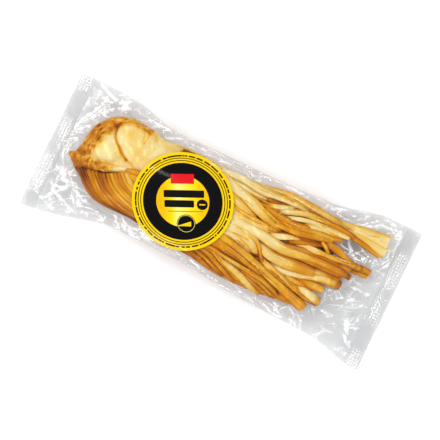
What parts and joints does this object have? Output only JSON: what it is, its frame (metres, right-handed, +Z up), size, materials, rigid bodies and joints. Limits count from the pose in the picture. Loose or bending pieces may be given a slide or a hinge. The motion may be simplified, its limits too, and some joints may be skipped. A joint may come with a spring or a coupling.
{
  "type": "vacuum pack of braided string cheese",
  "caption": "Smoked string cheese folded and gathered into a braid, sealed in a clear vacuum pouch with wide end seals and a round sticker label on top; lies flat.",
  "frame": {"origin": "on the table, under the middle of the pouch's bounding box", "axes": "+X along the pouch from the cheese's folded head to its loose tail, +Y across the pouch, +Z up through the label"},
  "size_m": [0.3, 0.1205, 0.0344],
  "materials": {
    "sealed_pouch": "clear glossy vacuum film drawn tight over smoked golden cheese strands",
    "round_label": "glossy printed sticker in yellow and black"
  },
  "bodies": {
    "root": {"sealed_pouch": "sealed_pouch", "round_label": "round_label"}
  },
  "joints": []
}
